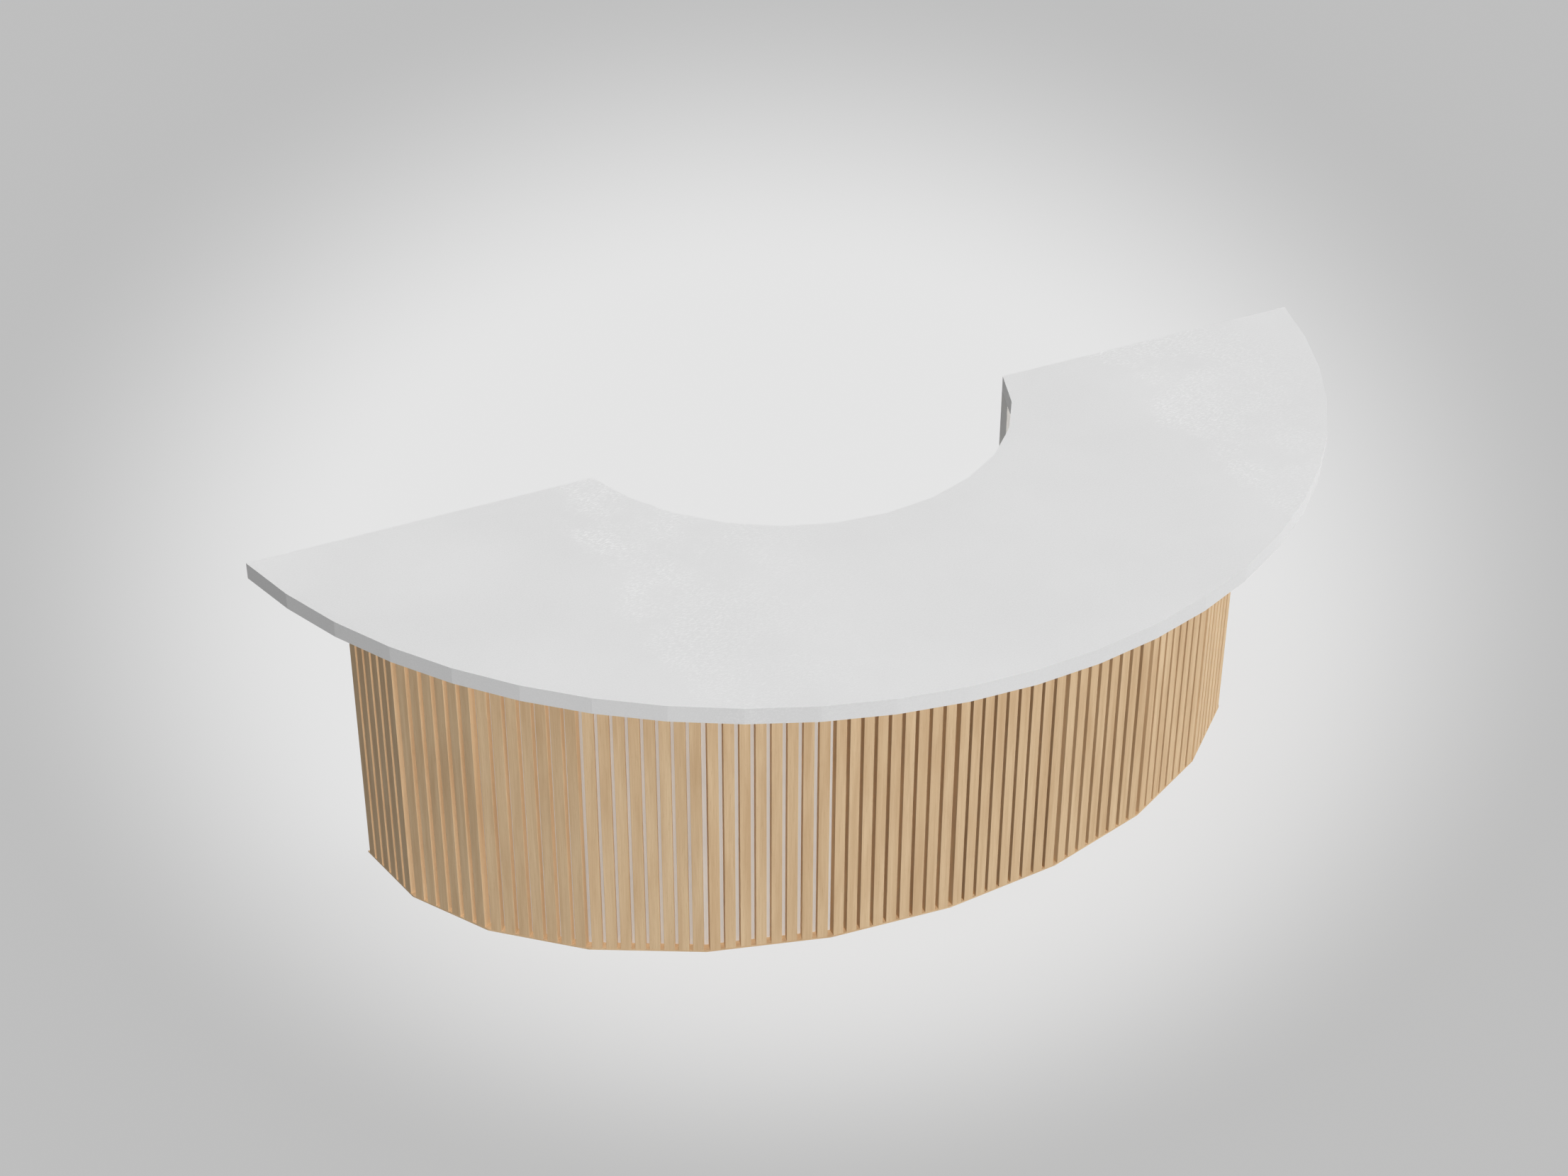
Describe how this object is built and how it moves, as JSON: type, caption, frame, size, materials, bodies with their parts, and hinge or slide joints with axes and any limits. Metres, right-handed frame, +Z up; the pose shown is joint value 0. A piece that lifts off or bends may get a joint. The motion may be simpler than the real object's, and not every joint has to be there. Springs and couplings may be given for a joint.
{
  "type": "checkout counter",
  "caption": "Curved checkout counter: an overhanging crescent worktop on a slatted drum, open to the staff side, with shelves and levelling feet inside.",
  "frame": {"origin": "on the floor, under the middle of the worktop's outline", "axes": "+Z up, +X along the counter's width, +Y towards the open staff side"},
  "size_m": [2.77, 1.12, 0.9],
  "materials": {
    "worktop_stone": "matt, honed, faintly mottled",
    "grey_board": "matt light grey laminate on board",
    "oak": "matt oiled, straight grain",
    "plywood": "raw",
    "zinc_steel": "bright zinc plated",
    "black_plastic": "moulded, fine texture"
  },
  "bodies": {
    "carcass": {"deck_1": "grey_board", "deck_2": "grey_board", "deck_3": "grey_board", "deck_4": "grey_board", "end_edge_strips": "worktop_stone", "end_panel_left": "grey_board", "end_panel_right": "grey_board", "front_panel_01": "grey_board", "front_panel_02": "grey_board", "front_panel_03": "grey_board", "front_panel_04": "grey_board", "front_panel_05": "grey_board", "front_panel_06": "grey_board", "front_panel_07": "grey_board", "front_panel_08": "grey_board", "front_panel_09": "grey_board", "front_panel_10": "grey_board", "front_panel_11": "grey_board", "front_panel_12": "grey_board", "gable_1": "grey_board", "gable_2": "grey_board", "gable_3": "grey_board", "inner_edge_strips": "worktop_stone", "joint_battens": "plywood", "leg_sockets": "black_plastic", "outer_edge_strips": "worktop_stone", "screws": "zinc_steel", "shelf_1": "grey_board", "shelf_2": "grey_board", "shelf_3": "grey_board", "shelf_4": "grey_board", "shelf_pins": "zinc_steel", "slat_sole": "oak", "slats_01": "oak", "slats_02": "oak", "slats_03": "oak", "slats_04": "oak", "slats_05": "oak", "slats_06": "oak", "slats_07": "oak", "slats_08": "oak", "slats_09": "oak", "slats_10": "oak", "slats_11": "oak", "slats_12": "oak", "worktop_brackets": "zinc_steel", "worktop_core_1": "plywood", "worktop_core_2": "plywood", "worktop_core_3": "plywood", "worktop_core_4": "plywood", "worktop_skin": "worktop_stone"},
    "levelling_foot_1": {"foot_1": "zinc_steel"},
    "levelling_foot_2": {"foot_2": "zinc_steel"},
    "levelling_foot_3": {"foot_3": "zinc_steel"},
    "levelling_foot_4": {"foot_4": "zinc_steel"},
    "levelling_foot_5": {"foot_5": "zinc_steel"},
    "levelling_foot_6": {"foot_6": "zinc_steel"},
    "levelling_foot_7": {"foot_7": "zinc_steel"},
    "levelling_foot_8": {"foot_8": "zinc_steel"}
  },
  "joints": [
    {"name": "foot_1_slide", "type": "slide", "parent": "carcass", "child": "levelling_foot_1", "axis": [0, 0, 1], "range_m": [-0.015, 0]},
    {"name": "foot_2_slide", "type": "slide", "parent": "carcass", "child": "levelling_foot_2", "axis": [0, 0, 1], "range_m": [-0.015, 0]},
    {"name": "foot_3_slide", "type": "slide", "parent": "carcass", "child": "levelling_foot_3", "axis": [0, 0, 1], "range_m": [-0.015, 0]},
    {"name": "foot_4_slide", "type": "slide", "parent": "carcass", "child": "levelling_foot_4", "axis": [0, 0, 1], "range_m": [-0.015, 0]},
    {"name": "foot_5_slide", "type": "slide", "parent": "carcass", "child": "levelling_foot_5", "axis": [0, 0, 1], "range_m": [-0.015, 0]},
    {"name": "foot_6_slide", "type": "slide", "parent": "carcass", "child": "levelling_foot_6", "axis": [0, 0, 1], "range_m": [-0.015, 0]},
    {"name": "foot_7_slide", "type": "slide", "parent": "carcass", "child": "levelling_foot_7", "axis": [0, 0, 1], "range_m": [-0.015, 0]},
    {"name": "foot_8_slide", "type": "slide", "parent": "carcass", "child": "levelling_foot_8", "axis": [0, 0, 1], "range_m": [-0.015, 0]}
  ]
}
